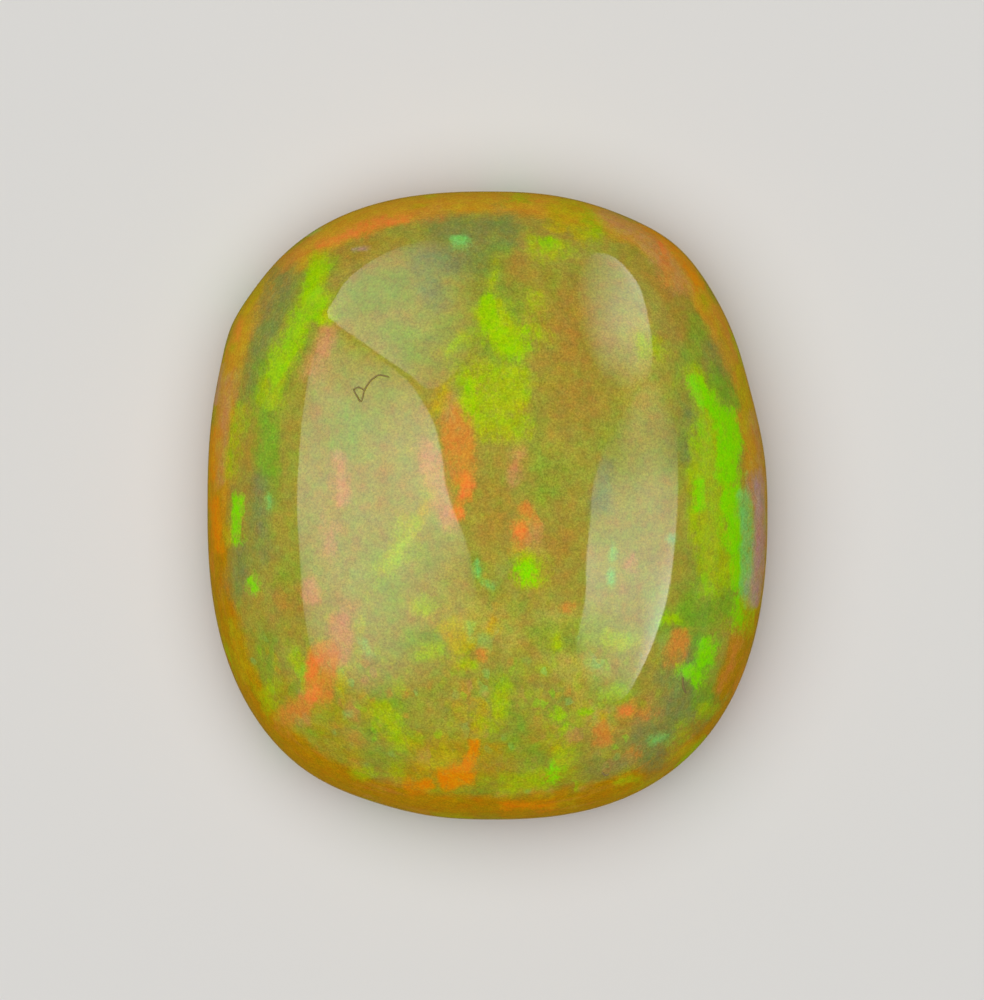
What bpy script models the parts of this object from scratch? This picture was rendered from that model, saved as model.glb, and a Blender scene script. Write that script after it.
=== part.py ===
"""A loose cushion-cut opal cabochon, lying on its flat base with the dome up.

Metres, +Z up. The stone's length runs along Y and its width along X. The origin is on the
base, under the middle of the outline. The stone is one solid. It starts as a cube whose
faces are cut into a grid: its upper half is rounded into the dome, the lower half of its
sides into the tucked-under back edge, and its bottom face becomes the flat base.
"""

import math

import bmesh
import bpy

# Driving dimensions. The girdle is the stone's widest line: the crown is the dome above it,
# the back is the tucked-under edge between it and the flat base.
LENGTH = 0.0160
WIDTH = 0.01427
CROWN_HEIGHT = 0.0052
BACK_HEIGHT = 0.0015
# Outline of the flat base, as a share of the girdle's
BASE_SHARE = 0.82
# Superellipse exponent of the crown's half section, where 2 is an ellipse
CROWN_FULLNESS = 2.15

# Squareness of the outline's four corners, also as a superellipse exponent, by the direction
# of the corner in degrees, counterclockwise from +X
CORNERS = {45: 2.34, 135: 2.59, 225: 2.50, 315: 2.53}

# Where the hand-cut edge leaves the formula: direction and reach in degrees, share of the
# radius there. A negative share is a flat ground a little too deep, a positive one a shoulder.
HAND_CUT = (
    ("flat on the upper right side", 24, 13, -0.020),
    ("shoulder above that flat", 54, 9, 0.016),
    ("shoulder on the upper left", 145, 6, 0.011),
    ("flat on the lower left", 249, 11, -0.012),
)

# Grid squares along each edge of the cube
GRID = 24
# Where the girdle lies, in degrees down from the top of the dome along the half section
GIRDLE_TURN = 90
EIGHTH_TURN = math.pi / 4

OPAL_COLOUR = (0.31, 0.25, 0.055, 1.0)
OPAL_ROUGHNESS = 0.04


def clear_scene():
    for thing in list(bpy.data.objects):
        bpy.data.objects.remove(thing)


def make_collection(name):
    collection = bpy.data.collections.new(name)
    bpy.context.scene.collection.children.link(collection)
    return collection


def squareness(direction):
    """The superellipse exponent in a direction, blended between the corners on either side."""
    total = 0.0
    weights = 0.0
    for corner, exponent in CORNERS.items():
        weight = max(0.0, math.cos(direction - math.radians(corner))) ** 2
        total += weight * exponent
        weights += weight
    return total / weights


def hand_cut(direction):
    """How far the hand-cut edge lies off the formula, as a share of the radius."""
    share = 0.0
    for _, centre, reach, depth in HAND_CUT:
        off = (math.degrees(direction) - centre + 180) % 360 - 180
        share += depth * math.exp(-((off / reach) ** 2))
    return share


def outline_radius(direction):
    """Distance from the stone's axis to the girdle in a direction."""
    n = squareness(direction)
    across = abs(math.cos(direction) / (WIDTH / 2)) ** n
    along = abs(math.sin(direction) / (LENGTH / 2)) ** n
    return (across + along) ** (-1 / n) * (1 + hand_cut(direction))


def half_section(turn):
    """(share of the outline radius, height) at a turn in degrees: 0 is the top of the dome,
    90 the girdle and 180 the edge of the flat base."""
    if turn <= GIRDLE_TURN:
        angle = math.radians(turn)
        share = math.sin(angle) ** (2 / CROWN_FULLNESS)
        return share, BACK_HEIGHT + CROWN_HEIGHT * math.cos(angle)
    angle = math.radians(turn - GIRDLE_TURN)
    share = BASE_SHARE + (1 - BASE_SHARE) * math.cos(angle)
    return share, BACK_HEIGHT * (1 - math.sin(angle))


def evened(step):
    """Bends a cube coordinate, so that even steps on the cube are even angles on a ball."""
    return math.tan(step * EIGHTH_TURN)


def rounded(point):
    """Where a point of the gridded cube, two units wide, lies on the stone."""
    x, y, z = (evened(step) for step in point)
    direction = math.atan2(y, x)
    square_share = max(abs(point.x), abs(point.y))
    if square_share < 1 and point.z < 0:
        share, height = BASE_SHARE * square_share, 0.0
    elif point.z < 0:
        share, height = half_section(GIRDLE_TURN * (1 - point.z))
    else:
        share, height = half_section(math.degrees(math.atan2(math.hypot(x, y), z)))
    radius = share * outline_radius(direction)
    return radius * math.cos(direction), radius * math.sin(direction), height


def gridded_cube():
    cube = bmesh.new()
    bmesh.ops.create_cube(cube, size=2)
    bmesh.ops.subdivide_edges(cube, edges=cube.edges[:], cuts=GRID - 1, use_grid_fill=True)
    return cube


def fit_to_size(cube):
    """Centres the outline on the origin and brings it to the stated width and length."""
    for axis, size in ((0, WIDTH), (1, LENGTH)):
        places = [vertex.co[axis] for vertex in cube.verts]
        middle = (max(places) + min(places)) / 2
        scale = size / (max(places) - min(places))
        for vertex in cube.verts:
            vertex.co[axis] = (vertex.co[axis] - middle) * scale


def opal_material():
    material = bpy.data.materials.new("polished_opal")
    material.use_nodes = True
    surface = material.node_tree.nodes["Principled BSDF"]
    surface.inputs["Base Color"].default_value = OPAL_COLOUR
    surface.inputs["Roughness"].default_value = OPAL_ROUGHNESS
    surface.inputs["Metallic"].default_value = 0.0
    return material


def make_opal(collection):
    cube = gridded_cube()
    for vertex in cube.verts:
        vertex.co = rounded(vertex.co)
    fit_to_size(cube)
    bmesh.ops.recalc_face_normals(cube, faces=cube.faces)
    mesh = bpy.data.meshes.new("opal")
    cube.to_mesh(mesh)
    cube.free()
    mesh.shade_smooth()
    mesh.materials.append(opal_material())
    stone = bpy.data.objects.new("opal", mesh)
    collection.objects.link(stone)
    return stone


clear_scene()
make_opal(make_collection("opal_cabochon"))
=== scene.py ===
"""Dresses a loose opal cabochon: the polished stone with its play of colour, a few hairs of
lint on it, the pale table it lies on, its lights and the camera that looks straight down.

Blender add-on layout: the settings are property groups, each piece has an operator, and main
runs the operators in order. Lengths are metres, +Z up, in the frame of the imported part.
"""

import math

import bmesh
import bpy
import numpy as np
from bpy.props import FloatProperty, FloatVectorProperty, IntProperty, PointerProperty
from bpy.types import Operator, Panel, PropertyGroup
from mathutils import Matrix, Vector, noise


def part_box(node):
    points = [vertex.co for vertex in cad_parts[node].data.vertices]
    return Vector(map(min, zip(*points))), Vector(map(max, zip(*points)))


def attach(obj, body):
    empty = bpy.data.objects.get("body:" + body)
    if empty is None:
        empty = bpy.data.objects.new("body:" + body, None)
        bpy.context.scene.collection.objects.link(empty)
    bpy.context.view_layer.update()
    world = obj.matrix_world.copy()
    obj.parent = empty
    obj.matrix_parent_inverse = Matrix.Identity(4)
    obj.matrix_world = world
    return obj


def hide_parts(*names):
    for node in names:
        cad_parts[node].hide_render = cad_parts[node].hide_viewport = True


bl_info = {
    "name": "Opal cabochon",
    "version": (1, 0, 0),
    "blender": (4, 5, 0),
    "location": "View3D > Sidebar > Opal",
    "description": "Builds a polished opal cabochon with play of colour on a pale table",
    "category": "Object",
}

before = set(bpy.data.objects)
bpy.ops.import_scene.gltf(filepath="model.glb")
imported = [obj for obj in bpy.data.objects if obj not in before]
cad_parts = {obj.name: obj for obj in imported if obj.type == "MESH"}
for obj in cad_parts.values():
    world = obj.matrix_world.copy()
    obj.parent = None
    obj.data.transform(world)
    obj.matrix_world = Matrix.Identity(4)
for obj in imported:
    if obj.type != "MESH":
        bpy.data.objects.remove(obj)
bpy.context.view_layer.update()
CAD_LOW, CAD_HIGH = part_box("opal")
STONE_SIZE = CAD_HIGH - CAD_LOW
BODY = "root"

MM = 0.001
STRAIGHT_UP = Vector((0.0, 0.0, 1.0))

# Squareness of the outline's four corners, as a superellipse exponent, by the direction of
# the corner in degrees, counterclockwise from +X
CORNERS = {45: 2.34, 135: 2.59, 225: 2.50, 315: 2.53}

# Where the hand-cut edge leaves the formula: direction and reach in degrees, share of the
# radius there. A negative share is a flat ground a little too deep, a positive one a shoulder.
HAND_CUT = (
    ("flat on the upper right side", 24, 13, -0.020),
    ("shoulder above that flat", 54, 9, 0.016),
    ("shoulder on the upper left", 145, 6, 0.011),
    ("flat on the lower left", 249, 11, -0.012),
)

# Where the girdle lies, in degrees down from the top of the dome along the half section
GIRDLE_TURN = 90
EIGHTH_TURN = math.pi / 4

# Places of the play of colour are in pixels of the photograph, x to the right and y down.
# The stone is this long there, with its middle at this pixel.
PHOTO_LENGTH = 628
PHOTO_MIDDLE = (487.5, 505.5)
PHOTO_HEIGHT = 1000


def shade(red, green, blue):
    """A colour as the shader takes it, from red, green and blue as a screen shows them."""
    def linear(value):
        share = value / 255
        return share / 12.92 if share <= 0.04045 else ((share + 0.055) / 1.055) ** 2.4
    return linear(red), linear(green), linear(blue)


def colour_property(name, description, default):
    return FloatVectorProperty(
        name=name, description=description, default=default, subtype="COLOR", min=0, max=1)


def length_property(name, description, default):
    return FloatProperty(
        name=name, description=description, default=default, min=0, unit="LENGTH", precision=5)


def share_property(name, description, default, low=0.0):
    return FloatProperty(
        name=name, description=description, default=default, min=low, max=1, subtype="FACTOR")


def brightness_property(name, description, default):
    return FloatProperty(name=name, description=description, default=default, min=0)


class StoneShape(PropertyGroup):
    """The cut of the stone."""

    width: length_property("Width", "Across the girdle, along X", STONE_SIZE.x)
    length: length_property("Length", "Along the girdle, along Y", STONE_SIZE.y)
    height: length_property("Height", "From the flat base to the top of the dome", STONE_SIZE.z)
    back_height: length_property("Back height", "From the flat base to the girdle", 0.0015)
    base_share: share_property(
        "Base share", "Outline of the flat base, as a share of the girdle's", 0.82, 0.1)
    crown_fullness: FloatProperty(
        name="Crown fullness",
        description="Superellipse exponent of the dome's half section, where 2 is an ellipse",
        default=2.15, min=1.5, max=4)
    grid: IntProperty(
        name="Grid", description="Squares along each edge of the cube that is rounded",
        default=110, min=12, max=120)


class StoneColours(PropertyGroup):
    """Body colours and colours of the play of colour."""

    olive: colour_property("Olive", "Body colour of the stone", shade(166, 158, 58))
    # Brown also paints shade in the seam between the two mirrored left panels
    brown: colour_property("Brown", "Honey brown clouds in the body", shade(174, 140, 52))
    ochre: colour_property("Ochre", "Yellowish brown clouds at the foot", shade(180, 156, 2))
    sand: colour_property("Sand", "Pale clouds, mostly right of the foot", shade(190, 178, 76))
    # Smoky green clouds in the body, which near the edge are painted shade where the band of the
    # sides begins
    smoke_and_shade: colour_property("Grey", "Smoky green clouds in the body", shade(126, 140, 76))
    # Honey and amber colour the sides: partly the stone's warm body colour, partly painted glow
    # of light that passes through the thin edge
    honey_edge_glow: colour_property("Honey", "Edge of the dome at the top", shade(214, 162, 38))
    amber_edge_glow: colour_property("Amber", "Edge of the dome at the bottom", shade(192, 140, 4))
    moss: colour_property("Moss", "Dim green patches", shade(136, 164, 44))
    fern: colour_property("Fern", "Deep green patches", shade(124, 174, 32))
    lime: colour_property("Lime", "Yellow-green patches", shade(174, 196, 12))
    green: colour_property("Green", "Brightest green flashes", shade(136, 232, 0))
    leaf: colour_property("Leaf", "Bright yellowish green flashes", shade(158, 210, 4))
    teal: colour_property("Teal", "Bluish green patches", shade(130, 210, 104))
    # Yellow also paints the glints of light along the edge of the dome
    yellow: colour_property("Yellow", "Yellow patches", shade(196, 176, 18))
    orange: colour_property("Orange", "Orange patches", shade(220, 144, 54))
    flame: colour_property("Flame", "Pure orange flashes near the edge", shade(244, 144, 2))
    red: colour_property("Red", "Hottest orange-red flashes", shade(248, 138, 56))
    salmon: colour_property("Salmon", "Pale orange-pink patches", shade(208, 150, 88))
    mauve: colour_property("Mauve", "Pinkish violet patches", shade(194, 152, 150))
    lint: colour_property("Lint", "Dark hairs on the dome", shade(112, 98, 54))


class StoneFinish(PropertyGroup):
    """How the surface takes the light."""

    polish: share_property("Polish", "Roughness of the polished dome", 0.045)
    ground: share_property("Ground base", "Roughness of the flat base", 0.42)
    refraction: FloatProperty(
        name="Refractive index", description="Of precious opal", default=1.45, min=1, max=2)
    glow: share_property("Glow", "Share of the light scattered under the surface", 0.12)
    glow_depth: length_property("Glow depth", "How deep the scattered light goes", 0.00035)


class StudioSettings(PropertyGroup):
    """The table, the lights and the camera."""

    table_colour: colour_property("Table", "Pale table top", (0.72, 0.71, 0.69))
    overhead: brightness_property("Overhead", "Brightness of the room high above", 0.1)
    horizon: brightness_property("Horizon", "Brightness of the room's pale walls", 0.62)
    mirrored_room: share_property(
        "Mirrored room", "Share of the room's brightness that the polish mirrors", 0.3)
    under_glow: colour_property(
        "Under glow", "Warm light that the stone's edge mirrors from below", (0.8, 0.54, 0.05))
    top_light: brightness_property("Top light", "Strength of the soft light above", 2.7)
    top_light_spread: FloatProperty(
        name="Top light spread", description="How wide the soft light above looks from the table",
        default=math.radians(75), min=0, max=math.pi, subtype="ANGLE")
    panel_light: brightness_property(
        "Panel light", "Brightness of the panels that the dome mirrors", 5.0)
    panel_distance: length_property("Panel distance", "From the dome to the light panels", 0.4)
    camera_distance: length_property("Camera distance", "From the girdle to the camera", 0.3)


def add_object(name, data):
    """A new object in the scene, round a mesh, a light or a camera."""
    thing = bpy.data.objects.new(name, data)
    bpy.context.scene.collection.objects.link(thing)
    return thing


# The shape of the stone


def squareness(direction):
    """The superellipse exponent in a direction, blended between the corners on either side."""
    total = 0.0
    weights = 0.0
    for corner, exponent in CORNERS.items():
        weight = max(0.0, math.cos(direction - math.radians(corner))) ** 2
        total += weight * exponent
        weights += weight
    return total / weights


def hand_cut(direction):
    """How far the hand-cut edge lies off the formula, as a share of the radius."""
    share = 0.0
    for _, centre, reach, depth in HAND_CUT:
        off = (math.degrees(direction) - centre + 180) % 360 - 180
        share += depth * math.exp(-((off / reach) ** 2))
    return share


def outline_radius(cut, direction):
    """Distance from the stone's axis to the girdle in a direction."""
    n = squareness(direction)
    across = abs(math.cos(direction) / (cut.width / 2)) ** n
    along = abs(math.sin(direction) / (cut.length / 2)) ** n
    return (across + along) ** (-1 / n) * (1 + hand_cut(direction))


def half_section(cut, turn):
    """(share of the outline radius, height) at a turn in degrees: 0 is the top of the dome,
    90 the girdle and 180 the edge of the flat base."""
    crown_height = cut.height - cut.back_height
    if turn <= GIRDLE_TURN:
        angle = math.radians(turn)
        share = math.sin(angle) ** (2 / cut.crown_fullness)
        return share, cut.back_height + crown_height * math.cos(angle)
    angle = math.radians(turn - GIRDLE_TURN)
    share = cut.base_share + (1 - cut.base_share) * math.cos(angle)
    return share, cut.back_height * (1 - math.sin(angle))


def evened(step):
    """Bends a cube coordinate, so that even steps on the cube are even angles on a ball."""
    return math.tan(step * EIGHTH_TURN)


def rounded(cut, point):
    """Where a point of the gridded cube, two units wide, lies on the stone."""
    x, y, z = (evened(step) for step in point)
    direction = math.atan2(y, x)
    square_share = max(abs(point.x), abs(point.y))
    if square_share < 1 and point.z < 0:
        share, height = cut.base_share * square_share, 0.0
    elif point.z < 0:
        share, height = half_section(cut, GIRDLE_TURN * (1 - point.z))
    else:
        share, height = half_section(cut, math.degrees(math.atan2(math.hypot(x, y), z)))
    radius = share * outline_radius(cut, direction)
    return radius * math.cos(direction), radius * math.sin(direction), height


def fit_to_size(cube, cut):
    """Centres the outline on the origin and brings it to the stated width and length."""
    for axis, size in ((0, cut.width), (1, cut.length)):
        places = [vertex.co[axis] for vertex in cube.verts]
        middle = (max(places) + min(places)) / 2
        scale = size / (max(places) - min(places))
        for vertex in cube.verts:
            vertex.co[axis] = (vertex.co[axis] - middle) * scale


def stone_mesh(cut):
    """The stone as a fine grid: a cube rounded into the dome, the back edge and the base."""
    cube = bmesh.new()
    bmesh.ops.create_cube(cube, size=2)
    bmesh.ops.subdivide_edges(cube, edges=cube.edges[:], cuts=cut.grid - 1, use_grid_fill=True)
    for vertex in cube.verts:
        vertex.co = rounded(cut, vertex.co)
    fit_to_size(cube, cut)
    bmesh.ops.recalc_face_normals(cube, faces=cube.faces)
    mesh = bpy.data.meshes.new("opal_stone")
    cube.to_mesh(mesh)
    cube.free()
    mesh.shade_smooth()
    return mesh


# The play of colour, with a few strokes of painted shade and painted glints, marked where they
# stand. Each patch of it is a brush stroke, (name, half width, points), in pixels of the
# photograph.

BROWN_CLOUDS = (
    ("column right of the middle", 30, ((566, 310), (572, 400))),
    ("middle, low", 19, ((492, 496), (496, 522))),
    ("right of the drop", 16, ((562, 530), (560, 560))),
    ("upper right slope", 16, ((655, 265), (680, 330))),
    ("upper left slope", 18, ((335, 262), (372, 250))),
    # Painted shade: darker brown in the seam between the two mirrored left panels
    ("between the panels and the block", 8, ((418, 376), (434, 384))),
    ("top, right", 12, ((520, 265), (530, 300))),
    ("left side", 6, ((250, 410), (248, 495))),
    ("lower left slope", 16, ((280, 620), (300, 600))),
    ("foot, left", 16, ((425, 775), (490, 770))),
    ("lower right slope", 18, ((610, 725), (650, 705))),
)

OCHRE_CLOUDS = (
    ("foot", 34, ((425, 765), (555, 772))),
    ("lower left", 15, ((285, 690), (335, 712))),
    ("lower left, foot", 12, ((318, 728), (352, 752))),
    ("left side, low", 12, ((238, 640), (262, 700))),
)

SAND_CLOUDS = (
    ("right of the middle, low", 25, ((556, 632), (604, 700))),
    ("middle, low", 13, ((470, 612), (506, 632))),
    ("upper right panel", 15, ((640, 325), (640, 400))),
)

# Smoky green clouds; those near the edge are painted shade along the inner side of the band of
# the sides
SMOKE_AND_SHADE_CLOUDS = (
    ("upper left", 15, ((284, 275), (266, 350))),
    ("upper left, low", 10, ((262, 360), (256, 395))),
    ("top", 14, ((440, 232), (505, 232))),
    ("top, low", 18, ((430, 262), (470, 258))),
    ("right side, above", 8, ((712, 350), (728, 405))),
    ("right side, inner", 7, ((686, 415), (686, 455))),
    ("left side", 9, ((262, 480), (262, 550))),
    ("left side, low", 9, ((243, 550), (240, 590))),
    ("lower right, above", 15, ((668, 674), (692, 650))),
    ("lower right", 24, ((690, 700), (650, 745))),
    ("lower right foot", 5, ((590, 768), (640, 758))),
    ("right panel, inner", 10, ((606, 470), (598, 505))),
    ("upper left panel, right", 10, ((430, 290), (438, 304))),
)

MOSS_PATCHES = (
    ("left side", 10, ((270, 410), (273, 495))),
    ("round the upper left streak", 16, ((322, 265), (280, 380))),
    ("right side, head", 14, ((700, 320), (690, 365))),
    ("right side, pool", 24, ((705, 400), (716, 500), (712, 590))),
    ("middle, right", 14, ((550, 470), (545, 492))),
    ("top", 14, ((500, 235), (485, 275))),
    ("top, small streak", 5, ((552, 280), (552, 300))),
    ("round the middle flash", 26, ((500, 310), (500, 350))),
    ("foot, middle", 18, ((505, 690), (530, 760))),
    ("foot, left", 20, ((390, 700), (385, 750))),
    ("foot, right", 16, ((600, 690), (625, 690))),
    ("foot, edge", 9, ((470, 790), (560, 788))),
    ("lower left, above", 7, ((285, 580), (298, 568))),
    ("lower left, middle", 12, ((270, 640), (262, 680))),
    ("lower right, above", 12, ((660, 618), (680, 625))),
    ("middle, low right", 16, ((545, 635), (575, 635))),
    ("middle, low left", 14, ((415, 640), (435, 640))),
    ("left panel, foot", 8, ((395, 596), (378, 560))),
    ("left panel, below the wedge", 14, ((395, 335), (412, 352))),
    ("left panel, above", 18, ((350, 420), (345, 450))),
    ("upper left panel", 18, ((360, 300), (400, 290))),
    ("right of the crescent", 14, ((690, 590), (684, 616))),
    ("right rim, above", 7, ((728, 372), (745, 420))),
)

TEAL_PATCHES = (
    ("top", 6, ((456, 243), (464, 242))),
    ("left of the drop", 3, ((476, 562), (480, 574))),
    ("left of the drop, low", 2, ((488, 582), (494, 584))),
    ("right edge", 6.5, ((743, 496), (746, 530), (747, 560), (746, 592))),
    ("middle, low", 1.5, ((472, 624), (472, 640))),
    ("lower right", 3, ((650, 740), (662, 735))),
    ("lower left", 1.5, ((347, 712), (354, 712))),
    ("crescent, upper", 3, ((613, 548), (611, 556))),
    ("crescent, lower", 3, ((609, 570), (611, 581))),
    ("crescent, pale spot", 3.5, ((668, 537), (670, 538))),
    ("left side", 1.5, ((270, 495), (272, 505))),
    ("left panel, low", 1.5, ((365, 640), (372, 650))),
)

YELLOW_PATCHES = (
    ("top", 14, ((570, 205), (584, 230))),
    ("top, left", 9, ((553, 214), (560, 226))),
    ("beside the block", 6, ((446, 394), (438, 412))),
    ("left panel, streak", 5, ((436, 472), (428, 497), (420, 520))),
    ("foot, stroke", 5, ((483, 702), (479, 720))),
    # Painted glint of light along the right edge
    ("right edge, above", 5, ((704, 300), (724, 334), (738, 372), (745, 398), (748, 425))),
    ("middle, low left", 13, ((452, 628), (462, 640))),
    ("left edge, low", 4, ((233, 622), (240, 655), (247, 675))),
    # Painted glint of light along the upper left edge
    ("upper left edge", 3, ((262, 290), (247, 316), (237, 335), (231, 350))),
    # Painted glint of light on the top edge
    ("top edge", 2.5, ((416, 208), (428, 206))),
    ("lower right", 5, ((600, 713), (601, 716))),
    ("lower left", 6, ((343, 674), (345, 684))),
    ("lower right edge", 5, ((672, 756), (688, 744))),
    ("left edge spark", 3, ((229, 527), (229, 540))),
    # Painted glint of light on the edge at the foot
    ("foot edge", 1.6, ((556, 803), (575, 801))),
    ("foot, left", 9, ((430, 760), (448, 755))),
    ("middle, low", 5, ((492, 618), (492, 628))),
)

SALMON_PATCHES = (
    ("left panel, above", 7, ((343, 460), (343, 498))),
    ("left panel, middle", 5, ((335, 530), (331, 552))),
    ("left panel, below", 8, ((312, 584), (312, 596))),
    ("panel edge, above", 11, ((430, 455), (438, 478))),
    ("panel edge, below", 8, ((444, 495), (448, 520))),
    ("middle", 6, ((518, 455), (512, 478))),
    ("above the drop", 7, ((531, 528), (531, 546))),
    ("right of the streak", 8, ((331, 335), (322, 355), (312, 372))),
    ("middle, shoulder", 9, ((458, 405), (455, 420))),
    ("lower left, right stroke", 12, ((343, 620), (341, 655))),
    ("upper right rim", 10, ((606, 216), (640, 236), (664, 260), (678, 286))),
    ("crescent", 4, ((629, 561), (632, 569))),
    ("left rim", 5, ((231, 380), (226, 420), (223, 480))),
    ("right rim, low", 5, ((755, 415), (759, 450), (760, 485))),
)

ORANGE_PATCHES = (
    ("middle, body", 12, ((462, 415), (464, 440), (462, 478))),
    ("middle, left", 9, ((449, 428), (455, 455))),
    ("middle, hot spot", 8, ((467, 484), (466, 495))),
    ("middle, foot", 6, ((460, 500), (458, 512))),
    ("above the drop", 6, ((519, 524), (521, 545))),
    ("above the drop, ochre", 7, ((526, 510), (530, 518))),
    ("lower left, pool", 15, ((326, 652), (322, 688))),
    ("lower left, tail", 10, ((306, 702), (286, 716))),
    ("lower right, first", 8, ((622, 710), (629, 707))),
    ("lower right, second", 8, ((600, 726), (603, 738))),
    ("lower right, third", 5, ((644, 711), (648, 710))),
    ("lower right, fourth", 4, ((630, 750), (634, 750))),
    ("lower right, above", 9, ((672, 652), (680, 636))),
    ("right of the drop", 5, ((565, 605), (569, 606))),
    ("middle, low", 5, ((482, 650), (482, 655))),
    ("upper right", 4, ((664, 262), (669, 285))),
    ("upper left rim", 6, (
        (284, 264), (300, 251), (320, 245), (345, 238), (365, 229), (385, 223), (408, 219),
        (434, 214))),
    ("right rim, above", 4, ((713, 308), (724, 330), (735, 358))),
    ("right rim, below", 3, ((738, 630), (735, 645), (728, 665), (716, 688))),
)

FERN_PATCHES = (
    ("right side, foot", 15, ((690, 612), (728, 606))),
    ("lower right", 12, ((698, 640), (704, 705))),
    ("right side, above", 12, ((716, 385), (730, 402))),
    ("streak, foot", 9, ((268, 366), (263, 398))),
    ("left side", 9, ((268, 412), (271, 470))),
    ("left of the drop", 5, ((474, 560), (480, 572))),
)

FLAME_PATCHES = (
    ("left edge", 5, ((216, 500), (218, 548))),
    ("left edge, above", 3, ((214, 430), (213, 480))),
    ("foot, stroke", 6, ((474, 742), (468, 765))),
    ("foot, pool", 11, ((448, 777), (465, 773))),
    ("foot, left", 6, ((410, 783), (428, 782))),
    ("foot edge", 4, ((505, 805), (548, 803))),
    ("upper right rim", 4, ((640, 218), (676, 250), (700, 285))),
)

LIME_PATCHES = (
    ("streak", 11, ((322, 258), (318, 290), (305, 320), (285, 360), (272, 398))),
    ("streak, bulge", 9, ((322, 300), (328, 318))),
    ("middle, right tips", 6, ((530, 330), (540, 338))),
    ("middle, right streak", 3, ((536, 300), (530, 325))),
    ("middle, upper streak", 2, ((495, 266), (490, 298))),
    ("middle, branch", 5, ((466, 338), (448, 354))),
    ("middle, lobes", 16, ((490, 315), (508, 345))),
    ("block, top", 13, ((472, 380), (518, 380))),
    ("block, middle", 17, ((476, 400), (514, 402))),
    ("block, foot", 13, ((486, 426), (518, 427))),
    ("left edge stroke", 5, ((242, 410), (237, 440), (230, 475))),
    ("lower left leaf", 8, ((268, 690), (272, 705))),
    ("left panel, foot", 8, ((414, 522), (404, 545), (385, 566))),
    ("foot, stroke", 8, ((504, 682), (498, 712))),
    ("foot, drop", 9, ((562, 748), (561, 763))),
    ("foot, edge", 10, ((512, 780), (538, 777))),
    ("foot, left leaf", 10, ((384, 706), (400, 738))),
    ("foot, dash", 5, ((484, 722), (492, 722))),
    ("lower right", 6, ((702, 708), (706, 707))),
    ("lower right, inner", 8, ((610, 690), (618, 690))),
    ("right side, head", 10, ((692, 376), (702, 402))),
    ("right side, slant", 12, ((702, 402), (720, 425))),
    ("right side, inner", 6, ((700, 415), (700, 450))),
    ("right side, pool", 24, ((714, 430), (709, 480), (712, 530), (718, 565))),
    ("right side, low", 10, ((746, 588), (744, 624))),
    ("round the top spark", 10, ((548, 250), (560, 252))),
    ("round the drop", 12, ((527, 562), (531, 575))),
    ("top, left of the spark", 6, ((532, 244), (532, 252))),
    ("top edge", 5, ((517, 199), (524, 199))),
    ("top, right", 6, ((590, 222), (598, 235))),
    ("foot, left spark", 5, ((358, 770), (366, 771))),
    ("foot, left spark, right", 5, ((393, 770), (399, 770))),
    ("lower left, spark", 6, ((296, 655), (298, 658))),
    ("foot edge, right", 3, ((618, 781), (636, 777))),
    ("middle, low", 5, ((555, 636), (555, 645))),
    ("crescent, low", 9, ((607, 637), (620, 640))),
    ("middle, lower", 7, ((420, 605), (427, 605))),
    ("middle, lower left", 8, ((428, 650), (434, 650))),
    ("middle, dash", 4, ((462, 663), (474, 663))),
    ("upper right, spark", 5, ((653, 344), (653, 352))),
    ("upper right, panel", 5, ((638, 340), (641, 354))),
    ("lower right, low", 3.5, ((680, 724), (680, 736))),
)

LEAF_FLASHES = (
    ("streak, upper", 8, ((317, 272), (312, 298), (303, 322))),
    ("streak, bulge", 6, ((322, 303), (320, 320))),
    ("streak, lower", 8, ((302, 328), (289, 352), (278, 378))),
    ("top spark", 6, ((544, 246), (552, 244))),
    ("middle, upper lobe", 8, ((487, 303), (490, 325))),
    ("middle, lower lobe", 11, ((501, 341), (513, 350))),
    ("middle, notch side", 4, ((524, 330), (526, 345))),
    ("block, left core", 5, ((471, 385), (475, 412))),
    ("drop", 9, ((525, 566), (528, 574))),
    ("right side, inner streak", 4, ((699, 425), (698, 445))),
    ("ring, upper", 2.5, ((707, 571), (702, 575), (701, 584))),
    ("ring, lower", 2.5, ((701, 584), (705, 591), (709, 588))),
    ("lower right, above", 6, ((664, 618), (674, 620))),
    ("foot, spark", 5, ((556, 710), (558, 714))),
    ("foot, spark, right", 4, ((565, 722), (567, 724))),
    ("foot, dash", 3, ((580, 710), (590, 710))),
)

GREEN_FLASHES = (
    ("left edge spark", 5, ((240, 498), (239, 515), (237, 537))),
    ("lower left spark", 5, ((254, 580), (255, 588))),
    ("right side, head", 9, ((694, 384), (703, 402))),
    ("right side, slant", 7, ((703, 402), (722, 422))),
    ("right side, band", 12, ((724, 420), (727, 445), (724, 472))),
    ("right side, inner spot", 4.5, ((697, 482), (697, 508))),
    ("right side, middle", 10, ((729, 495), (732, 520), (732, 548))),
    ("right side, lower", 7, ((735, 555), (737, 585))),
    ("right edge, low", 4, ((737, 600), (737, 622))),
    ("lower right, upper", 9, ((705, 645), (702, 660))),
    ("lower right, lower", 6.5, ((684, 672), (696, 674))),
    ("lower right, foot", 5, ((692, 674), (697, 680))),
    ("foot, low spark", 4, ((551, 764), (551, 773))),
    ("drop", 5, ((525, 567), (527, 573))),
)

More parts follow.
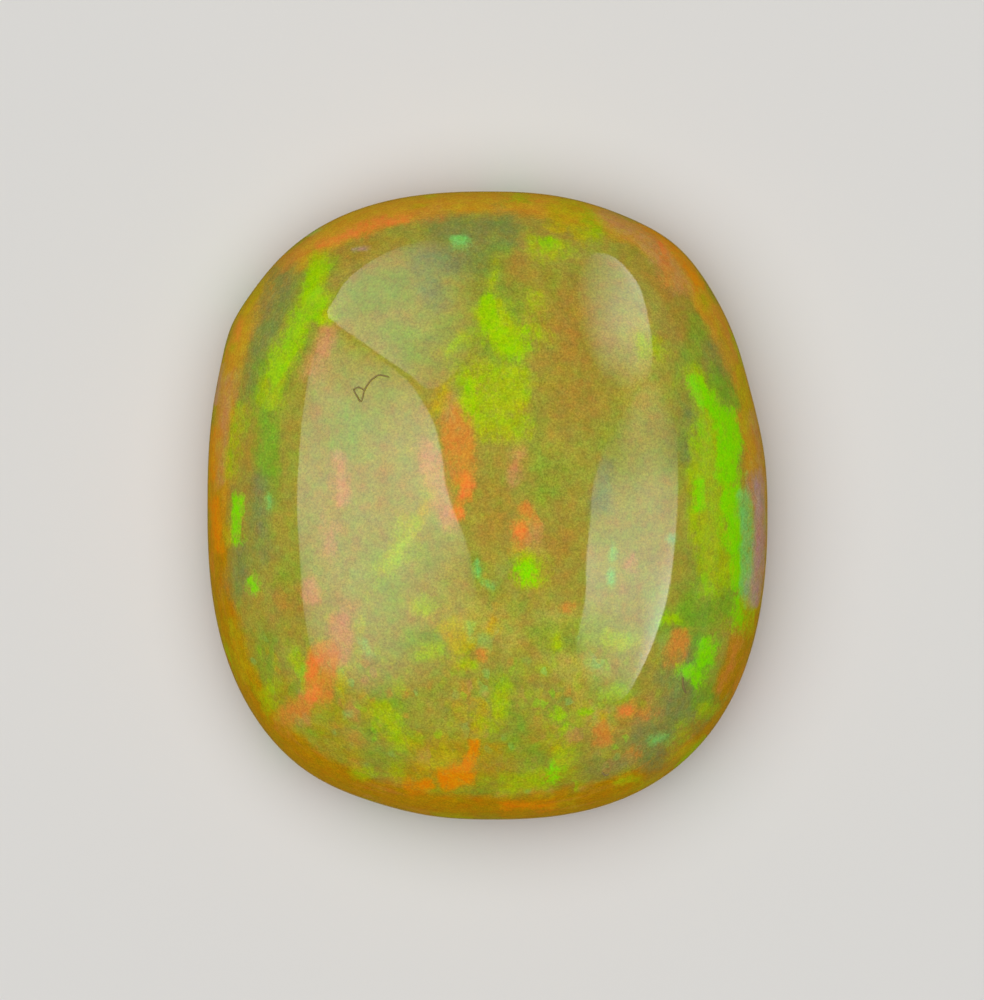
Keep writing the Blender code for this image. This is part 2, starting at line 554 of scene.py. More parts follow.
RED_FLASHES = (
    ("upper left rim", 3, ((318, 246), (345, 238), (365, 229), (385, 223), (405, 220))),
    ("left edge", 2.5, ((241, 325), (235, 340))),
    ("lower left, upper", 5, ((318, 660), (314, 675))),
    ("lower left, lower", 6, ((318, 688), (313, 696))),
    ("middle, tip", 4.5, ((455, 514), (461, 513))),
    ("middle, hot spot", 6, ((467, 482), (466, 493))),
    ("above the drop", 4, ((519, 524), (518, 534))),
    ("upper right", 3.5, ((658, 244), (664, 256))),
    ("lower right, first", 4, ((624, 710), (628, 708))),
)

MAUVE_PATCHES = (
    ("upper left", 1, ((354, 251), (364, 251))),
    ("right edge", 7, ((757, 480), (760, 530), (758, 560), (753, 598))),
)

# Each group of strokes: the strokes, the colour's name, how far its edges fade and wander in
# pixels, and its strength
CLOUD_LAYERS = (
    (BROWN_CLOUDS, "brown", 24, 16, 0.85),
    (OCHRE_CLOUDS, "ochre", 20, 16, 0.8),
    (SAND_CLOUDS, "sand", 20, 16, 0.85),
    (MOSS_PATCHES, "moss", 12, 14, 0.75),
)
FLASH_LAYERS = (
    (SMOKE_AND_SHADE_CLOUDS, "smoke_and_shade", 13, 18, 0.8),
    (FERN_PATCHES, "fern", 9, 22, 0.75),
    (YELLOW_PATCHES, "yellow", 6, 20, 0.85),
    (SALMON_PATCHES, "salmon", 8, 20, 0.85),
    (ORANGE_PATCHES, "orange", 7, 22, 0.9),
    (FLAME_PATCHES, "flame", 6, 18, 0.9),
    (LIME_PATCHES, "lime", 8, 26, 0.9),
    (LEAF_FLASHES, "leaf", 5, 22, 0.95),
    (GREEN_FLASHES, "green", 5, 24, 0.95),
    (TEAL_PATCHES, "teal", 5, 10, 0.85),
    (MAUVE_PATCHES, "mauve", 6, 8, 0.9),
    (RED_FLASHES, "red", 5, 16, 0.9),
)

# Thin dark hairs that cling to the dome, in the same way
HAIRS = (
    ("curl", 0.8, ((391, 379), (381, 377), (374, 381), (369, 387), (366, 393))),
    ("loop", 0.8, ((366, 392), (361, 389), (356, 391), (358, 396), (363, 403), (366, 392))),
    ("right side", 1.0, ((681, 675), (681, 684), (684, 691))),
    ("foot tick", 0.9, ((601, 770), (604, 773), (608, 772))),
)

# Height at which the strokes start to end, and how much nearer their edges come per depth
STROKE_FOOT = 2.1 * MM
STROKE_FADE = 0.45
# How far the strokes are pushed about, and the size of the smooth noise that does it
STROKE_PUSHES = ((3.0, 26), (2.5, 9))
# Seed of the noise that pushes the strokes about, which would else change from run to run
STROKE_SEED = 2

# Sides of a hair's section, and steps from each of its points to the next
HAIR_SIDES = 6
HAIR_STEPS = 5
# How thick a hair's tips are and how far its middle lies off the dome, by its half width
HAIR_TIP = 0.35
HAIR_LIFT = 0.6
HAIR_ROUGHNESS = 0.7
# Size of the paler stretches of a hair, and how many times as bright they are
HAIR_MOTTLING = 0.4 * MM
HAIR_PALER = 1.8

# The flecks in the lower third, and the standing patches in the sides: the chance, from
# nought to one, at which each colour starts
FLECK_CHANCES = (
    (0.0, "lime"), (0.26, "moss"), (0.46, "yellow"), (0.6, "brown"), (0.72, "salmon"),
    (0.8, "orange"), (0.86, "green"), (0.94, "teal"))
SIDE_CHANCES = (
    (0.0, "moss"), (0.2, "lime"), (0.36, "orange"), (0.52, "green"), (0.62, "yellow"),
    (0.72, "salmon"), (0.84, "teal"), (0.9, "red"), (0.96, "mauve"))


# Strokes laid out on the mesh


def photo_places(mesh, cut):
    """Each vertex's place in pixels of the photograph, pushed about so that edges wander."""
    scale = PHOTO_LENGTH / cut.length
    places = []
    noise.seed_set(STROKE_SEED)
    for vertex in mesh.vertices:
        spot = vertex.co * scale
        push = Vector()
        for reach, size in STROKE_PUSHES:
            push += reach * noise.noise_vector(spot / size)
        places.append((PHOTO_MIDDLE[0] + spot.x + push.x, PHOTO_MIDDLE[1] - spot.y + push.y))
    return np.array(places)


def edge_distance(places, strokes):
    """How far each place lies outside the nearest stroke's edge, in pixels."""
    nearest = np.full(len(places), float(PHOTO_LENGTH))
    for _, half_width, points in strokes:
        for start, end in zip(points, points[1:]):
            start = np.array(start, float)
            along = np.array(end, float) - start
            share = np.clip((places - start) @ along / (along @ along), 0.0, 1.0)
            off = np.linalg.norm(places - start - share[:, None] * along, axis=1)
            nearest = np.minimum(nearest, off - half_width)
    return nearest


def layer_name(colour_name):
    """The mesh attribute for the strokes of a colour. A bare colour's name won't do, because
    the renderer keeps the name flame for itself."""
    return colour_name + "_strokes"


def lay_strokes(mesh, cut):
    """Stores the distance to the edge of each group of strokes on the mesh. Below the widest
    line of the stone it grows, so that the strokes end there."""
    places = photo_places(mesh, cut)
    depth = np.array([max(0.0, STROKE_FOOT - vertex.co.z) for vertex in mesh.vertices])
    depth *= STROKE_FADE * PHOTO_LENGTH / cut.length
    for strokes, colour_name, *_ in (*CLOUD_LAYERS, *FLASH_LAYERS):
        layer = mesh.attributes.new(layer_name(colour_name), "FLOAT", "POINT")
        distance = edge_distance(places, strokes) + depth
        layer.data.foreach_set("value", distance.astype(np.float32))


# Nodes of the opal. Sizes here are in pixels of the photograph, but for those given in MM.

# Noises: size, detail and roughness
BODY_DRIFT = (52.0, 3.0)
RAGGED_NOISE = (6.0, 4.0, 0.8)
MOTTLED_NOISE = (5.0, 3.0, 0.7)
CRISP_NOISE = (38.0, 1.0)
FLECK_CLUSTERS = (50.0, 1.0)
SIDE_BANDS = (70.0, 3.0)
SIDE_TOP_NOISE = (24.0, 2.0)
POLISH_NOISE = (30.0, 0.0)

# Smooth steps: where they start and end, and the values there if they aren't nought and one
BROWN_DRIFT = (0.52, 0.7, 0.0, 0.5)
MOSS_DRIFT = (0.48, 0.32, 0.0, 0.35)
MOTTLING = (0.3, 0.55, 0.6, 1.0)
CRISPNESS = (0.3, 0.7, 0.45, 1.7)
FLECKS_BY_PLACE = (540.0, 690.0, 0.06, 1.0)
FLECKS_BY_CLUSTER = (0.36, 0.58, 0.3, 1.0)
CELL_EDGE = (0.8, 0.25)
AMBER_BY_PLACE = (520.0, 690.0)
ORANGE_BANDS = (0.54, 0.7, 0.0, 0.3)
PATCHES_BY_HEIGHT = (110.0, 78.0, 0.04, 0.75)
GROUND_BY_HEIGHT = (26.0, 6.0)

# Stretches of a place. Noise and cells get longer along the axes with the smaller numbers.
LENGTHWAYS = (1.0, 0.6, 0.6)
LONG_FLECKS = (1.0, 0.75, 0.75)
LEVEL = (1.0, 1.0, 6.0)
UPRIGHT = (1.0, 1.0, 0.55)

# How far the edges of the cells are ragged, and the chance over which a cell fades in
CELL_RAGGEDNESS = 0.9
CELL_FADE = 0.1
# Size of the noise that pushes the cells about, and how far it pushes them
FLECK_WANDER = (12.0, 4.0)
SIDE_WANDER = (30.0, 16.0)
# Flecks: size, the share of them that is seen, and strength
FLECKS = ((18.0, 0.65, 0.5), (8.0, 0.5, 0.36))
SIDE_PATCH_SIZE = 44.0
SIDE_PATCHES_SEEN = 0.55
# How far the bands of the sides lean the line between honey and amber, the painted edge glow
SIDE_LEAN = 240.0
# Heights between which the sides take over from the dome, and how far that line waves
SIDES_START = 4.15 * MM
SIDES_FULL = 3.7 * MM
SIDE_WAVE = 24.0
# Mottling over all, from coarse to fine: size, what the noise gives, and strength
GRAINS = ((16.0, "Color", 0.38), (2.0, "Fac", 0.75))
GRAIN_ROUGHNESS = 0.75
# How much the polish changes from place to place
POLISH_CHANGE = 0.03
# How far red, green and blue go under the surface, as shares of the glow's depth
GLOW_REACH = (1.0, 0.9, 0.4)


class Nodes:
    """Adds nodes to a material or a world and links them as it goes."""

    def __init__(self, owner):
        owner.use_nodes = True
        self.tree = owner.node_tree
        self.surface = self.tree.nodes.get("Principled BSDF")

    def node(self, kind, inputs, **settings):
        node = self.tree.nodes.new(kind)
        for name, value in settings.items():
            setattr(node, name, value)
        for socket, value in inputs.items():
            self.plug(node.inputs[socket], value)
        return node

    def plug(self, socket, value):
        """Links a socket to another node's output, or gives it a value."""
        if isinstance(value, bpy.types.NodeSocket):
            self.tree.links.new(value, socket)
        else:
            socket.default_value = value

    def vector(self, operation, *values):
        inputs = dict(enumerate(values))
        return self.node("ShaderNodeVectorMath", inputs, operation=operation).outputs[0]

    def maths(self, operation, *values):
        inputs = dict(enumerate(values))
        return self.node("ShaderNodeMath", inputs, operation=operation).outputs[0]

    def product(self, first, *others):
        for other in others:
            first = self.maths("MULTIPLY", first, other)
        return first

    def step(self, value, start, end, low=0.0, high=1.0):
        """Goes smoothly from low to high as a value goes from start to end."""
        inputs = {0: value, 1: start, 2: end, 3: low, 4: high}
        return self.node("ShaderNodeMapRange", inputs, interpolation_type="SMOOTHSTEP").outputs[0]

    def noise(self, place, size, detail=2.0, roughness=0.5, output="Fac"):
        inputs = {"Vector": place, "Scale": 1 / size, "Detail": detail, "Roughness": roughness}
        return self.node("ShaderNodeTexNoise", inputs).outputs[output]

    def part(self, place, axis):
        return self.node("ShaderNodeSeparateXYZ", {0: place}).outputs[axis]

    def mix(self, share, below, above, blend="MIX"):
        inputs = {0: share, 6: below, 7: above}
        return self.node("ShaderNodeMix", inputs, data_type="RGBA", blend_type=blend).outputs[2]

    def ramp(self, value, stops, interpolation="LINEAR"):
        """A colour by a value, from the value and the colour at each stop."""
        picker = self.node("ShaderNodeValToRGB", {0: value})
        picker.color_ramp.interpolation = interpolation
        elements = picker.color_ramp.elements
        elements.remove(elements[1])
        elements[0].position = stops[0][0]
        elements[0].color = opaque(stops[0][1])
        for start, colour in stops[1:]:
            elements.new(start).color = opaque(colour)
        return picker.outputs[0]

    def layer(self, name):
        """A number that the mesh stores at each of its points."""
        return self.node("ShaderNodeAttribute", {}, attribute_name=name).outputs["Fac"]

    def wandering(self, place, size, reach):
        """A place pushed about by smooth noise."""
        push = self.noise(place, size, output="Color")
        back = self.vector("SUBTRACT", place, (reach,) * 3)
        return self.vector("MULTIPLY_ADD", push, (2 * reach,) * 3, back)

    def replace_surface(self, shader):
        """Puts another shader in the place of the usual one."""
        self.tree.nodes.remove(self.surface)
        self.plug(self.tree.nodes["Material Output"].inputs["Surface"], shader)


def opaque(colour):
    return (*colour, 1.0)


def photo_place(nodes, cut):
    """Each point's place in pixels of the photograph, with its height as the third number."""
    scale = PHOTO_LENGTH / cut.length
    point = nodes.node("ShaderNodeTexCoord", {}).outputs["Object"]
    return nodes.vector("MULTIPLY_ADD", point, (scale, -scale, scale), (*PHOTO_MIDDLE, 0.0))


def lay_layers(nodes, colour, layers, colours, crispness, ragged, mottled):
    """Lays groups of strokes over a colour, with ragged edges and a mottled inside."""
    for _, colour_name, fade, wander, strength in layers:
        edge = nodes.product(nodes.layer(layer_name(colour_name)), crispness)
        edge = nodes.maths("MULTIPLY_ADD", ragged, wander, edge)
        share = nodes.step(edge, fade, -fade, 0.0, strength)
        share = nodes.product(share, mottled)
        colour = nodes.mix(share, colour, opaque(getattr(colours, colour_name)))
    return colour


def body_colour(nodes, lengthways, colours):
    """The olive body, which drifts towards brown and towards green."""
    drift = nodes.noise(lengthways, *BODY_DRIFT)
    brown = nodes.step(drift, *BROWN_DRIFT)
    green = nodes.step(drift, *MOSS_DRIFT)
    colour = nodes.mix(brown, opaque(colours.olive), opaque(colours.brown))
    return nodes.mix(green, colour, opaque(colours.moss))


def cells_over(nodes, colour, place, size, chances, colours, ragged, shown, share):
    """Lays cells over a colour, each in a colour by its chance. Only a part of them is seen."""
    cells = nodes.node("ShaderNodeTexVoronoi", {"Vector": place, "Scale": 1 / size})
    chance = nodes.node("ShaderNodeSeparateColor", {0: cells.outputs["Color"]})
    stops = [(start, getattr(colours, colour_name)) for start, colour_name in chances]
    picked = nodes.ramp(chance.outputs[0], stops, "CONSTANT")
    near = nodes.maths("MULTIPLY_ADD", ragged, CELL_RAGGEDNESS, cells.outputs["Distance"])
    inside = nodes.step(near, *CELL_EDGE)
    seen = nodes.step(chance.outputs[1], 1 - shown, 1 - shown + CELL_FADE)
    return nodes.mix(nodes.product(inside, seen, share), colour, picked)


def flecks_over(nodes, colour, place, ragged, colours):
    """Small flecks, thickest in the lower third of the stone."""
    low = nodes.step(nodes.part(place, "Y"), *FLECKS_BY_PLACE)
    patchy = nodes.step(nodes.noise(place, *FLECK_CLUSTERS), *FLECKS_BY_CLUSTER)
    share = nodes.product(low, patchy)
    loose = nodes.vector("MULTIPLY", nodes.wandering(place, *FLECK_WANDER), LONG_FLECKS)
    for size, shown, strength in FLECKS:
        colour = cells_over(
            nodes, colour, loose, size, FLECK_CHANCES, colours, ragged, shown,
            nodes.product(share, strength))
    return colour


def side_colour(nodes, place, height, ragged, colours):
    """The sides, the back edge and the base: honey and amber, partly the stone's warm body colour
    and partly painted glow of light through the thin edge, with patches that stand.
    """
    bands = nodes.noise(nodes.vector("MULTIPLY", place, LEVEL), *SIDE_BANDS)
    leaning = nodes.maths("MULTIPLY_ADD", bands, SIDE_LEAN, nodes.part(place, "Y"))
    warm = nodes.step(leaning, *AMBER_BY_PLACE)
    colour = nodes.mix(warm, opaque(colours.honey_edge_glow), opaque(colours.amber_edge_glow))
    colour = nodes.mix(nodes.step(bands, *ORANGE_BANDS), colour, opaque(colours.orange))
    loose = nodes.wandering(nodes.vector("MULTIPLY", place, UPRIGHT), *SIDE_WANDER)
    below = nodes.step(height, *PATCHES_BY_HEIGHT)
    return cells_over(
        nodes, colour, loose, SIDE_PATCH_SIZE, SIDE_CHANCES, colours, ragged,
        SIDE_PATCHES_SEEN, below)


def sides_over(nodes, colour, place, height, ragged, colours, cut):
    """Lets the sides, with their painted edge glow, take over from the dome below a waving line.
    """
    scale = PHOTO_LENGTH / cut.length
    wave = nodes.maths("MULTIPLY_ADD", nodes.noise(place, *SIDE_TOP_NOISE), SIDE_WAVE, height)
    low = nodes.step(wave, SIDES_START * scale, SIDES_FULL * scale)
    return nodes.mix(low, colour, side_colour(nodes, place, height, ragged, colours))


def grain_over(nodes, colour, place):
    """Mottling from coarse to fine, as the tiny grains of play of colour give it."""
    for size, output, share in GRAINS:
        speckle = nodes.noise(place, size, roughness=GRAIN_ROUGHNESS, output=output)
        colour = nodes.mix(share, colour, speckle, "OVERLAY")
    return colour


def opal_material(cut, colours, finish):
    """Play of colour from the body up: clouds, flecks, the sides with their painted edge glow,
    flashes and fine grain. Some smoky clouds and one brown stroke are painted shade, and a few
    yellow edge strokes are painted glints.
    """
    material = bpy.data.materials.new("precious_opal")
    nodes = Nodes(material)
    place = photo_place(nodes, cut)
    height = nodes.part(place, "Z")
    lengthways = nodes.vector("MULTIPLY", place, LENGTHWAYS)
    ragged = nodes.maths("SUBTRACT", nodes.noise(lengthways, *RAGGED_NOISE), 0.5)
    mottled = nodes.step(nodes.noise(lengthways, *MOTTLED_NOISE), *MOTTLING)
    crispness = nodes.step(nodes.noise(place, *CRISP_NOISE), *CRISPNESS)
    colour = body_colour(nodes, lengthways, colours)
    colour = lay_layers(nodes, colour, CLOUD_LAYERS, colours, crispness, ragged, mottled)
    colour = flecks_over(nodes, colour, place, ragged, colours)
    colour = sides_over(nodes, colour, place, height, ragged, colours, cut)
    colour = lay_layers(nodes, colour, FLASH_LAYERS, colours, crispness, ragged, mottled)
    colour = grain_over(nodes, colour, place)
    nodes.plug(nodes.surface.inputs["Base Color"], colour)
    finish_surface(nodes, place, height, finish)
    return material


def finish_surface(nodes, place, height, finish):
    """Polished dome, and a base that is only ground flat."""
    surface = nodes.surface
    clouds = nodes.noise(place, *POLISH_NOISE)
    low = finish.polish - POLISH_CHANGE / 2
    polished = nodes.maths("MULTIPLY_ADD", clouds, POLISH_CHANGE, low)
    base = nodes.step(height, *GROUND_BY_HEIGHT)
    rough = nodes.maths("MULTIPLY_ADD", base, finish.ground - finish.polish, polished)
    nodes.plug(surface.inputs["Roughness"], rough)
    surface.inputs["IOR"].default_value = finish.refraction
    surface.inputs["Subsurface Weight"].default_value = finish.glow
    surface.inputs["Subsurface Radius"].default_value = GLOW_REACH
    surface.inputs["Subsurface Scale"].default_value = finish.glow_depth


# The hairs


def dome_height(cut, x, y):
    """Height of the dome over a place in plan."""
    share = math.hypot(x, y) / outline_radius(cut, math.atan2(y, x))
    rise = math.sqrt(max(0.0, 1 - share ** cut.crown_fullness))
    return cut.back_height + (cut.height - cut.back_height) * rise


def between(share, before, start, end, after):
    """A smooth value part of the way from start to end, given the values on either side."""
    bend = 2 * before - 5 * start + 4 * end - after
    turn = 3 * start - before - 3 * end + after
    return start + 0.5 * share * (end - before + share * (bend + share * turn))


def smooth_line(points, steps, closed=False):
    """A smooth line through some points, with a few steps from each to the next."""
    count = len(points)
    line = []
    for start in range(count if closed else count - 1):
        around = []
        for offset in (-1, 0, 1, 2):
            place = start + offset
            around.append(points[place % count if closed else min(max(place, 0), count - 1)])
        for step in range(steps):
            line.append(tuple(between(step / steps, *values) for values in zip(*around)))
    if not closed:
        line.append(tuple(points[-1]))
    return line


def on_dome(cut, pixel_x, pixel_y):
    """The point of the dome under a pixel of the photograph."""
    scale = cut.length / PHOTO_LENGTH
    x = (pixel_x - PHOTO_MIDDLE[0]) * scale
    y = (PHOTO_MIDDLE[1] - pixel_y) * scale
    return Vector((x, y, dome_height(cut, x, y)))


def hair_tube(cut, half_width, points):
    """Points and faces of one hair, a thin closed tube that lies on the dome."""
    line = [on_dome(cut, x, y) for x, y in smooth_line(points, HAIR_STEPS)]
    radius = half_width * cut.length / PHOTO_LENGTH
    corners = []
    for place, centre in enumerate(line):
        along = line[min(place + 1, len(line) - 1)] - line[max(place - 1, 0)]
        sideways = along.cross(STRAIGHT_UP).normalized()
        outward = sideways.cross(along).normalized()
        tip = HAIR_TIP if place in (0, len(line) - 1) else 1.0
        for side in range(HAIR_SIDES):
            turn = math.tau * side / HAIR_SIDES
            offset = math.cos(turn) * sideways + (HAIR_LIFT + math.sin(turn)) * outward
            corners.append(centre + tip * radius * offset)
    faces = [tuple(range(HAIR_SIDES))]
    for start in range(0, len(corners) - HAIR_SIDES, HAIR_SIDES):
        for side in range(HAIR_SIDES):
            following = (side + 1) % HAIR_SIDES
            faces.append((
                start + side, start + side + HAIR_SIDES,
                start + following + HAIR_SIDES, start + following))
    faces.append(tuple(range(len(corners) - HAIR_SIDES, len(corners))))
    return corners, faces


def hair_material(colour):
    """Dark brown lint."""
    material = bpy.data.materials.new("dark_lint")
    nodes = Nodes(material)
    point = nodes.node("ShaderNodeTexCoord", {}).outputs["Object"]
    paler = tuple(min(1.0, HAIR_PALER * part) for part in colour)
    mottled = nodes.mix(nodes.noise(point, HAIR_MOTTLING), opaque(colour), opaque(paler))
    nodes.plug(nodes.surface.inputs["Base Color"], mottled)
    nodes.surface.inputs["Roughness"].default_value = HAIR_ROUGHNESS
    return material


def hair_mesh(cut):
    """All the hairs as one mesh."""
    points = []
    faces = []
    for _, half_width, line in HAIRS:
        tube_points, tube_faces = hair_tube(cut, half_width, line)
        faces.extend(tuple(len(points) + corner for corner in face) for face in tube_faces)
        points.extend(tube_points)
    mesh = bpy.data.meshes.new("lint_hairs")
    mesh.from_pydata(points, [], faces)
    shape = bmesh.new()
    shape.from_mesh(mesh)
    bmesh.ops.recalc_face_normals(shape, faces=shape.faces)
    shape.to_mesh(mesh)
    shape.free()
    mesh.shade_smooth()
    return mesh


# The studio

# The light panels: name, brightness of the middle, and the outline that the dome mirrors
# straight up, as pixels of the photograph with the brightness there. A panel fades out before
# it reaches a corner with a brightness under nought.
PANELS = (
    ("panel_left_low", 0.74, (
        (328, 320, -0.2), (345, 333, -0.1), (365, 348, 0.05), (385, 363, 0.2), (407, 380, 0.35),
        (423, 403, 0.6), (437, 433, 0.8), (449, 498, 0.9), (465, 540, 0.45), (476, 590, 0.1),
        (475, 640, 0.0), (430, 690, 0.0), (370, 700, 0.0), (322, 670, 0.05), (306, 620, 0.3),
        (301, 560, 0.45), (298, 500, 0.65), (302, 430, 0.5), (311, 370, 0.3))),
    ("panel_left_high", 0.52, (
        (329, 317, 0.6), (335, 300, 0.6), (350, 278, 0.5), (380, 257, 0.3), (410, 245, 0.1),
        (445, 240, 0.0), (475, 260, 0.0), (480, 320, 0.0), (460, 365, 0.1), (432, 389, 0.25),
        (409, 374, 0.5), (385, 358, 0.6), (360, 340, 0.55))),
    ("panel_right_high", 0.8, (
        (588, 258, 0.1), (606, 255, 0.4), (622, 265, 0.8), (638, 286, 1.0), (646, 312, 0.8),
        (651, 345, 0.4), (648, 375, 0.1), (625, 390, 0.0), (598, 372, 0.0), (582, 335, 0.0),
        (575, 290, 0.0))),
    ("panel_right_low", 0.88, (
        (645, 380, -0.4), (666, 395, -0.3), (675, 430, -0.1), (677, 480, 0.4), (675, 530, 0.9),
        (668, 590, 1.5), (655, 635, 1.75), (641, 668, 1.3), (622, 698, 0.25), (594, 700, -0.2),
        (576, 655, 0.05), (585, 600, 0.85), (586, 560, 0.95), (590, 520, 0.6), (594, 480, 0.4),
        (612, 430, 0.0))),
)
# Steps from each corner of an outline to the next
OUTLINE_STEPS = 4
# Where a panel's rings lie, as shares of the way from its middle to its outline
PANEL_RINGS = (0.35, 0.7, 1.0)

TABLE_SIZE = 12.0
TABLE_GAP = 0.01 * MM
# Size of the darker clouds on the table, and their brightness as a share of the table's
TABLE_MOTTLING = 0.02
TABLE_DARKER = 0.97

# Where the parts of the room end and start, from 0 straight down to 1 straight up
GLOW_TOP = 0.455
WALL_FOOT = 0.495
WALL_TOP = 0.54
CEILING_EDGE = 0.6
ROOM_TINT = (1.0, 0.99, 0.97)

TOP_LIGHT_PLACE = (-0.04, 0.02, 0.5)
# How far the camera stands from over the stone's middle, along X and Y
CAMERA_ASIDE = (0.115 * MM, 0.14 * MM)
NEAREST_SEEN = 0.01
FARTHEST_SEEN = 50.0


def mirrored(cut, pixel_x, pixel_y, distance):
    """Where the dome, seen straight down at a pixel of the photograph, mirrors."""
    point = on_dome(cut, pixel_x, pixel_y)
    x, y, _ = point
    step = cut.length / PHOTO_HEIGHT
    slope_x = (dome_height(cut, x + step, y) - dome_height(cut, x - step, y)) / (2 * step)
    slope_y = (dome_height(cut, x, y + step) - dome_height(cut, x, y - step)) / (2 * step)
    normal = Vector((-slope_x, -slope_y, 1.0)).normalized()
    direction = 2 * normal.z * normal - STRAIGHT_UP
    return point + distance * direction


def panel_material(strength):
    """Light of a soft panel, by the brightness at each of its corners."""
    material = bpy.data.materials.new("soft_panel_light")
    # Only the polish shows the panels, so they needn't be sampled as lamps
    material.cycles.emission_sampling = "NONE"
    nodes = Nodes(material)
    power = nodes.product(nodes.layer("brightness"), strength)
    light = nodes.node("ShaderNodeEmission", {"Strength": power})
    nodes.replace_surface(light.outputs[0])
    return material


def panel_mesh(name, middle_glow, outline, cut, distance):
    """A panel of rings round its middle, with the brightness of each point."""
    edge = smooth_line(outline, OUTLINE_STEPS, closed=True)
    rim = [mirrored(cut, x, y, distance) for x, y, _ in edge]
    middle = sum(rim, Vector()) / len(rim)
    count = len(rim)
    points = [middle]
    glow = [middle_glow]
    for share in PANEL_RINGS:
        for corner, (_, _, edge_glow) in zip(rim, edge):
            points.append(middle.lerp(corner, share))
            glow.append(max(0.0, middle_glow + (edge_glow - middle_glow) * share ** 2))
    faces = []
    for corner in range(count):
        following = (corner + 1) % count
        faces.append((0, 1 + corner, 1 + following))
        for ring in range(len(PANEL_RINGS) - 1):
            inner = 1 + ring * count
            outer = inner + count
            faces.append((inner + corner, outer + corner, outer + following, inner + following))
    mesh = bpy.data.meshes.new(name)
    mesh.from_pydata(points, [], faces)
    brightness = mesh.attributes.new("brightness", "FLOAT", "POINT")
    brightness.data.foreach_set("value", glow)
    return mesh


def hang_panels(cut, studio):
    """Soft panels that the dome mirrors in the shapes of their outlines."""
    material = panel_material(studio.panel_light)
    for name, middle_glow, outline in PANELS:
        mesh = panel_mesh(name, middle_glow, outline, cut, studio.panel_distance)
        mesh.materials.append(material)
        panel = add_object(name, mesh)
        panel.visible_camera = False
        panel.visible_diffuse = False
        panel.visible_shadow = False
        panel.visible_transmission = False


def table_material(colour):
    """Pale table top with a faint, even mottling."""
    material = bpy.data.materials.new("pale_table")
    nodes = Nodes(material)
    point = nodes.node("ShaderNodeTexCoord", {}).outputs["Object"]
    cloud = nodes.noise(point, TABLE_MOTTLING, 1.0)
    darker = tuple(TABLE_DARKER * part for part in colour)
    mottled = nodes.mix(cloud, opaque(colour), opaque(darker))
    matt = nodes.node("ShaderNodeBsdfDiffuse", {"Color": mottled})
    nodes.replace_surface(matt.outputs[0])
    return material


def lay_table(colour):
    """A wide table top, just under the stone's base."""
    half = TABLE_SIZE / 2
    mesh = bpy.data.meshes.new("table_top")
    corners = [(-half, -half, 0), (half, -half, 0), (half, half, 0), (-half, half, 0)]
    mesh.from_pydata(corners, [], [(0, 1, 2, 3)])
    mesh.materials.append(table_material(colour))
    table = add_object("table_top", mesh)
    table.location.z = -TABLE_GAP
    table.visible_glossy = False


def light_room(studio):
    """A room with pale walls, dimmer overhead, and a warm glow from under the horizon. The
    polish mirrors it more dimly, as if black cards stood round the stone."""
    world = bpy.data.worlds.new("studio_room")
    bpy.context.scene.world = world
    nodes = Nodes(world)
    direction = nodes.node("ShaderNodeTexCoord", {}).outputs["Generated"]
    rise = nodes.maths("MULTIPLY_ADD", nodes.part(direction, "Z"), 0.5, 0.5)
    wall = tuple(studio.horizon * part for part in ROOM_TINT)
    ceiling = tuple(studio.overhead * part for part in ROOM_TINT)
    stops = (
        (GLOW_TOP, studio.under_glow), (WALL_FOOT, wall), (WALL_TOP, wall),
        (CEILING_EDGE, ceiling))
    glossy = nodes.node("ShaderNodeLightPath", {}).outputs["Is Glossy Ray"]
    background = nodes.tree.nodes["Background"]
    nodes.plug(background.inputs["Color"], nodes.ramp(rise, stops))
    nodes.plug(
        background.inputs["Strength"],
        nodes.maths("MULTIPLY_ADD", glossy, studio.mirrored_room - 1, 1.0))


def hang_top_light(studio):
    """A broad soft light above, which models the form and isn't mirrored."""
    light = bpy.data.lights.new("top_light", "SUN")
    light.angle = studio.top_light_spread
    light.energy = studio.top_light
    lamp = add_object("top_light", light)
    lamp.location = TOP_LIGHT_PLACE
    lamp.rotation_euler = (-lamp.location).to_track_quat("-Z", "Y").to_euler()
    lamp.visible_glossy = False
    lamp.visible_camera = False


def set_camera(cut, distance):
    """Straight down, with a long lens, framed as the photograph is."""
    camera = bpy.data.cameras.new("overhead_camera")
    view_height = PHOTO_HEIGHT / PHOTO_LENGTH * cut.length
    camera.lens = camera.sensor_width * distance / view_height
    camera.clip_start = NEAREST_SEEN
    camera.clip_end = FARTHEST_SEEN
    holder = add_object("overhead_camera", camera)
    holder.location = (*CAMERA_ASIDE, cut.back_height + distance)
    bpy.context.scene.camera = holder


# Operators, panel and registration


class OPAL_OT_cut_stone(Operator):
    """Cuts and polishes the stone, with its play of colour"""

    bl_idname = "opal.cut_stone"
    bl_label = "Cut the stone"
    bl_options = {"REGISTER", "UNDO"}

    def execute(self, context):
        scene = context.scene
        mesh = stone_mesh(scene.stone_shape)
        lay_strokes(mesh, scene.stone_shape)
        mesh.materials.append(
            opal_material(scene.stone_shape, scene.stone_colours, scene.stone_finish))
        stone = add_object("opal_stone", mesh)
        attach(stone, BODY)
        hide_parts("opal")
        return {"FINISHED"}


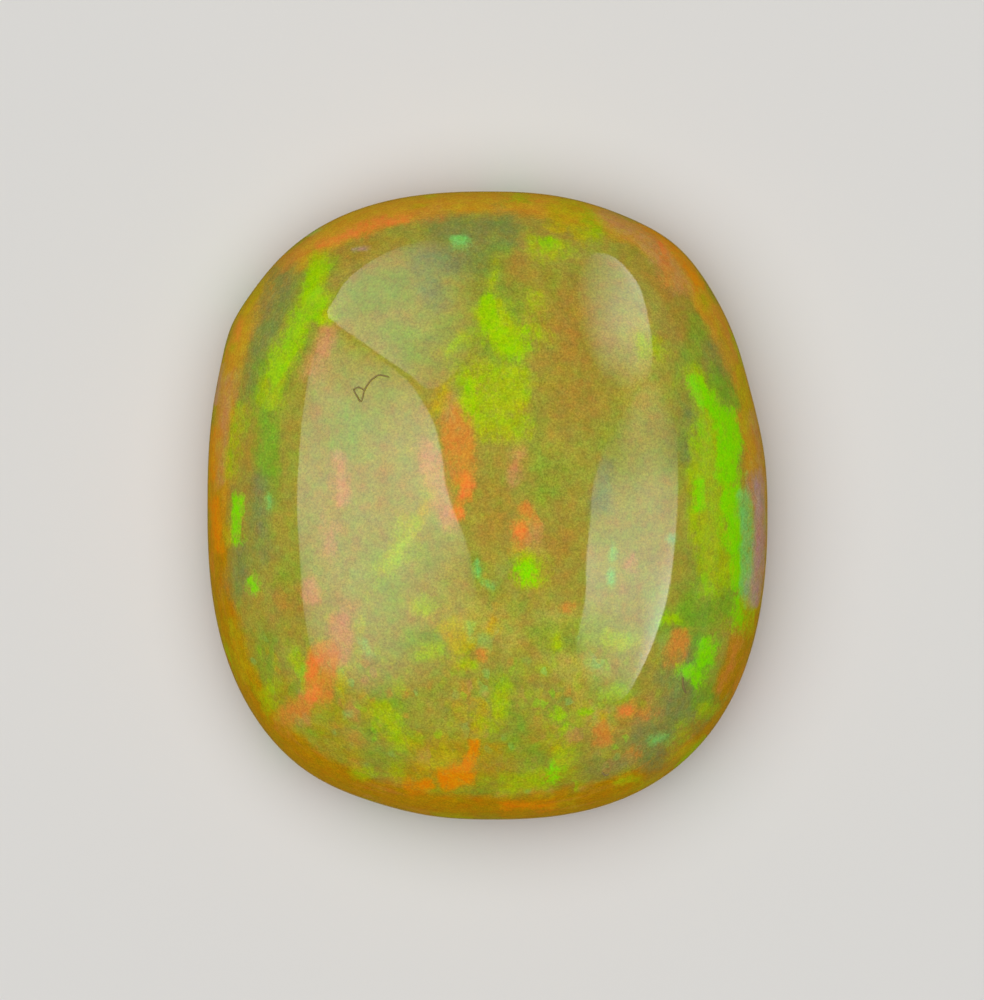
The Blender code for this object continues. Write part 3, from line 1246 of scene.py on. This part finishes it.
class OPAL_OT_lay_lint(Operator):
    """Lays the few dark hairs that cling to the dome"""

    bl_idname = "opal.lay_lint"
    bl_label = "Lay the lint"
    bl_options = {"REGISTER", "UNDO"}

    def execute(self, context):
        scene = context.scene
        mesh = hair_mesh(scene.stone_shape)
        mesh.materials.append(hair_material(scene.stone_colours.lint))
        hairs = add_object("lint_hairs", mesh)
        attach(hairs, BODY)
        return {"FINISHED"}


class OPAL_OT_set_stage(Operator):
    """Lays the table, hangs the lights and sets the camera"""

    bl_idname = "opal.set_stage"
    bl_label = "Set the stage"
    bl_options = {"REGISTER", "UNDO"}

    def execute(self, context):
        scene = context.scene
        cut = scene.stone_shape
        studio = scene.studio
        scene.view_settings.view_transform = "Standard"
        lay_table(studio.table_colour)
        light_room(studio)
        hang_top_light(studio)
        hang_panels(cut, studio)
        set_camera(cut, studio.camera_distance)
        return {"FINISHED"}


class OPAL_PT_sidebar(Panel):
    """Lists the settings and the operators"""

    bl_idname = "OPAL_PT_sidebar"
    bl_label = "Opal cabochon"
    bl_space_type = "VIEW_3D"
    bl_region_type = "UI"
    bl_category = "Opal"

    def draw(self, context):
        layout = self.layout
        for name in SETTINGS:
            settings = getattr(context.scene, name)
            box = layout.box()
            box.label(text=settings.bl_rna.description)
            for prop in settings.bl_rna.properties.keys():
                if prop not in ("rna_type", "name"):
                    box.prop(settings, prop)
        for operator in OPERATORS:
            layout.operator(operator.bl_idname)


SETTINGS = {
    "stone_shape": StoneShape,
    "stone_colours": StoneColours,
    "stone_finish": StoneFinish,
    "studio": StudioSettings,
}
OPERATORS = (OPAL_OT_cut_stone, OPAL_OT_lay_lint, OPAL_OT_set_stage)
CLASSES = (*SETTINGS.values(), *OPERATORS, OPAL_PT_sidebar)


def register():
    for entry in CLASSES:
        bpy.utils.register_class(entry)
    for name, group in SETTINGS.items():
        setattr(bpy.types.Scene, name, PointerProperty(type=group))


def unregister():
    for name in SETTINGS:
        delattr(bpy.types.Scene, name)
    for entry in reversed(CLASSES):
        bpy.utils.unregister_class(entry)


def corners(box):
    """A box's two corners as plain lists of numbers."""
    return [[float(part) for part in corner] for corner in box]


def main():
    register()
    bpy.ops.opal.cut_stone()
    bpy.ops.opal.lay_lint()
    bpy.ops.opal.set_stage()


if __name__ == "__main__":
    main()
